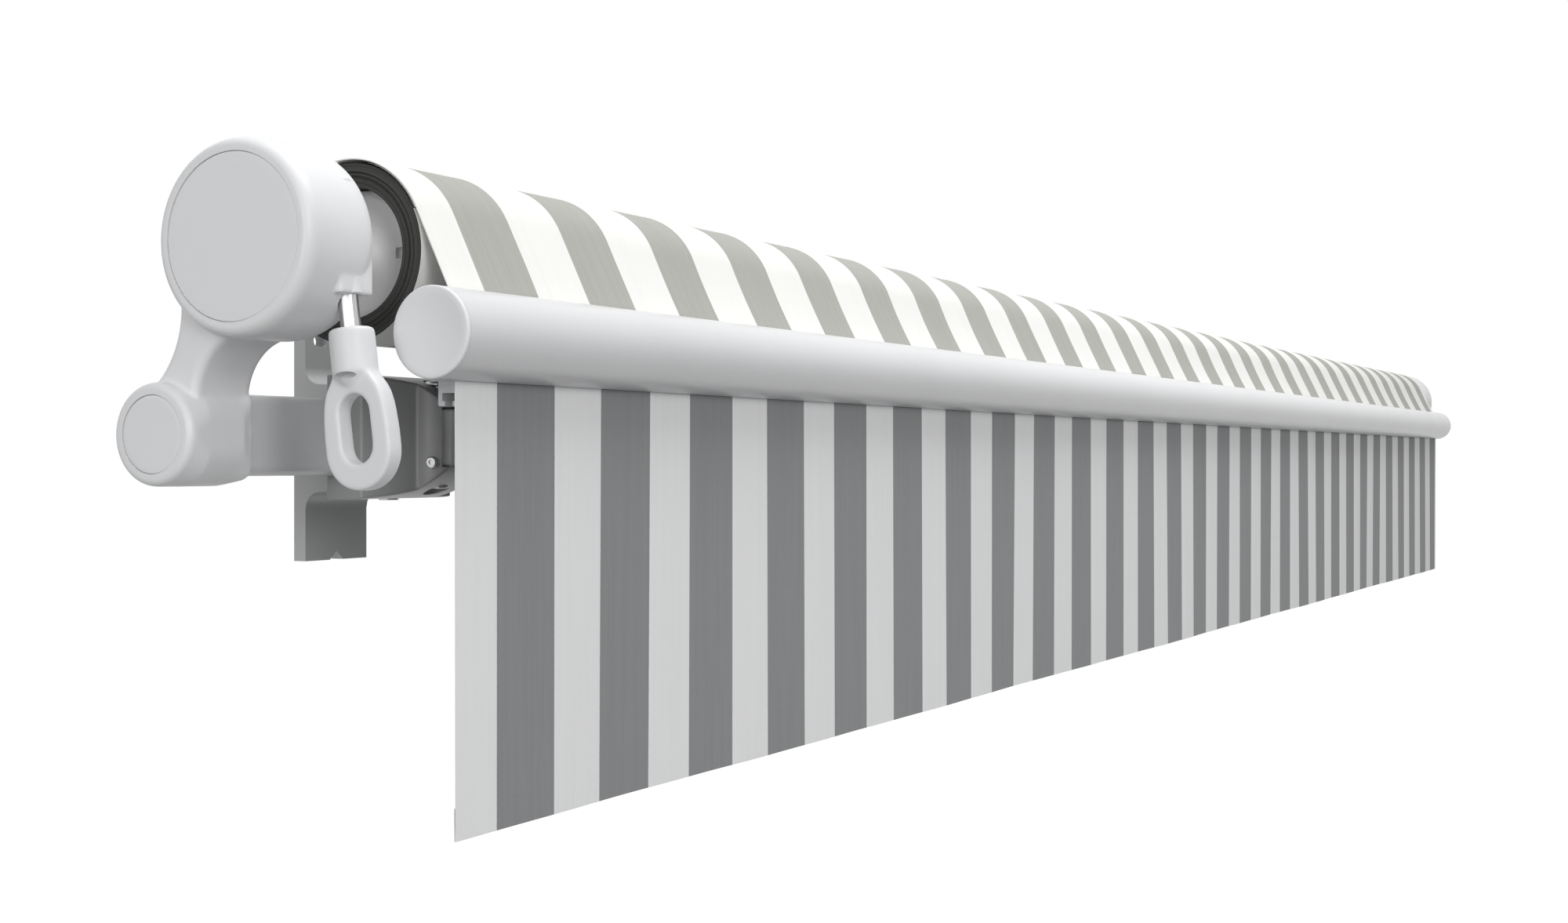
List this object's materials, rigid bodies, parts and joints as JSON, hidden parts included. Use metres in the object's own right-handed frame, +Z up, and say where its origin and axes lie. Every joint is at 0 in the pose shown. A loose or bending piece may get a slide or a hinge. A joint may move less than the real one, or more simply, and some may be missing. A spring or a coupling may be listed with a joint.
{
  "type": "folding_arm_awning",
  "caption": "Open folding-arm patio awning, drawn in: striped cloth on a roller, worm winch with crank eye, square tube, wall brackets, folding arms, front bar and valance",
  "frame": {"origin": "on the wall plane, midway along the awning, level with the middle of the square support tube", "axes": "+X runs along the awning to the right as seen from the garden, +Y points into the wall, +Z is up"},
  "size_m": [3.6858, 0.228, 0.4185],
  "materials": {
    "white_cast": "white powder-coated cast aluminium",
    "white_bar": "white powder-coated aluminium extrusion",
    "white_plastic": "white moulded plastic",
    "tube_paint": "light grey painted steel tube",
    "galvanised": "light grey painted steel",
    "steel": "plain zinc-plated steel",
    "bronze": "plain bronze",
    "grey_plastic": "light grey moulded plastic",
    "cloth": "woven acrylic with grey and white block stripes"
  },
  "bodies": {
    "root": {"support_tube": "tube_paint", "left_carrier": "white_cast", "left_head_cover": "white_plastic", "left_tube_cover": "white_plastic", "left_wall_bracket": "galvanised", "left_clamp_bolt": "steel", "left_shoulder": "white_cast", "left_shoulder_pin": "steel", "right_carrier": "white_cast", "right_head_cover": "white_plastic", "right_tube_cover": "white_plastic", "right_wall_bracket": "galvanised", "right_clamp_bolt": "steel", "right_shoulder": "white_cast", "right_shoulder_pin": "steel", "winch_cover": "grey_plastic", "idler_cover": "grey_plastic"},
    "left_upper_arm_body": {"left_upper_arm_root": "white_cast", "left_upper_arm": "white_bar", "left_elbow_fork": "white_cast", "left_elbow_pin": "steel"},
    "left_forearm_body": {"left_forearm_elbow": "white_cast", "left_forearm": "white_bar", "left_forearm_front": "white_cast"},
    "right_upper_arm_body": {"right_upper_arm_root": "white_cast", "right_upper_arm": "white_bar", "right_elbow_fork": "white_cast", "right_elbow_pin": "steel"},
    "right_forearm_body": {"right_forearm_elbow": "white_cast", "right_forearm": "white_bar", "right_forearm_front": "white_cast"},
    "front_bar_body": {"front_bar": "white_bar", "cloth_keder": "grey_plastic", "valance_keder": "grey_plastic", "valance": "cloth", "cloth_panel": "cloth", "left_bar_cap": "white_plastic", "left_front_bracket": "white_cast", "left_front_pin": "steel", "right_bar_cap": "white_plastic", "right_front_bracket": "white_cast", "right_front_pin": "steel"},
    "roller_body": {"roller_tube": "galvanised", "cloth_roll": "cloth", "left_roller_plug": "grey_plastic", "right_roller_plug": "grey_plastic", "worm_wheel": "bronze"},
    "crank_body": {"worm_shaft": "steel", "crank_eye": "white_plastic"}
  },
  "joints": [
    {"name": "left_shoulder", "type": "hinge", "parent": "root", "child": "left_upper_arm_body", "pos_m": [-1.64, -0.112, 0], "axis": [0, 0, -1], "range_deg": [0, 74.25]},
    {"name": "left_elbow", "type": "hinge", "parent": "left_upper_arm_body", "child": "left_forearm_body", "pos_m": [-0.3401, -0.1285, 0], "axis": [0, 0, 1], "range_deg": [0, 148.5]},
    {"name": "left_front", "type": "hinge", "parent": "left_forearm_body", "child": "front_bar_body", "pos_m": [-1.64, -0.145, 0], "axis": [0, 0, -1], "range_deg": [0, 74.25]},
    {"name": "right_shoulder", "type": "hinge", "parent": "root", "child": "right_upper_arm_body", "pos_m": [1.64, -0.112, 0], "axis": [0, 0, 1], "range_deg": [0, 74.25]},
    {"name": "right_elbow", "type": "hinge", "parent": "right_upper_arm_body", "child": "right_forearm_body", "pos_m": [0.3401, -0.1285, 0], "axis": [0, 0, -1], "range_deg": [0, 148.5]},
    {"name": "roller_spin", "type": "hinge", "parent": "root", "child": "roller_body", "pos_m": [0, -0.118, 0.114], "axis": [1, 0, 0], "continuous": true},
    {"name": "crank_spin", "type": "hinge", "parent": "root", "child": "crank_body", "pos_m": [-1.7962, -0.16004, 0.11953], "axis": [0, -0.1305, -0.9914], "continuous": true}
  ],
  "couplings": [
    {"joint": "left_elbow", "follows": "left_shoulder", "ratio": 2},
    {"joint": "left_front", "follows": "left_shoulder", "ratio": 1},
    {"joint": "right_shoulder", "follows": "left_shoulder", "ratio": 1},
    {"joint": "right_elbow", "follows": "left_shoulder", "ratio": 2},
    {"joint": "crank_spin", "follows": "roller_spin", "ratio": -22}
  ]
}
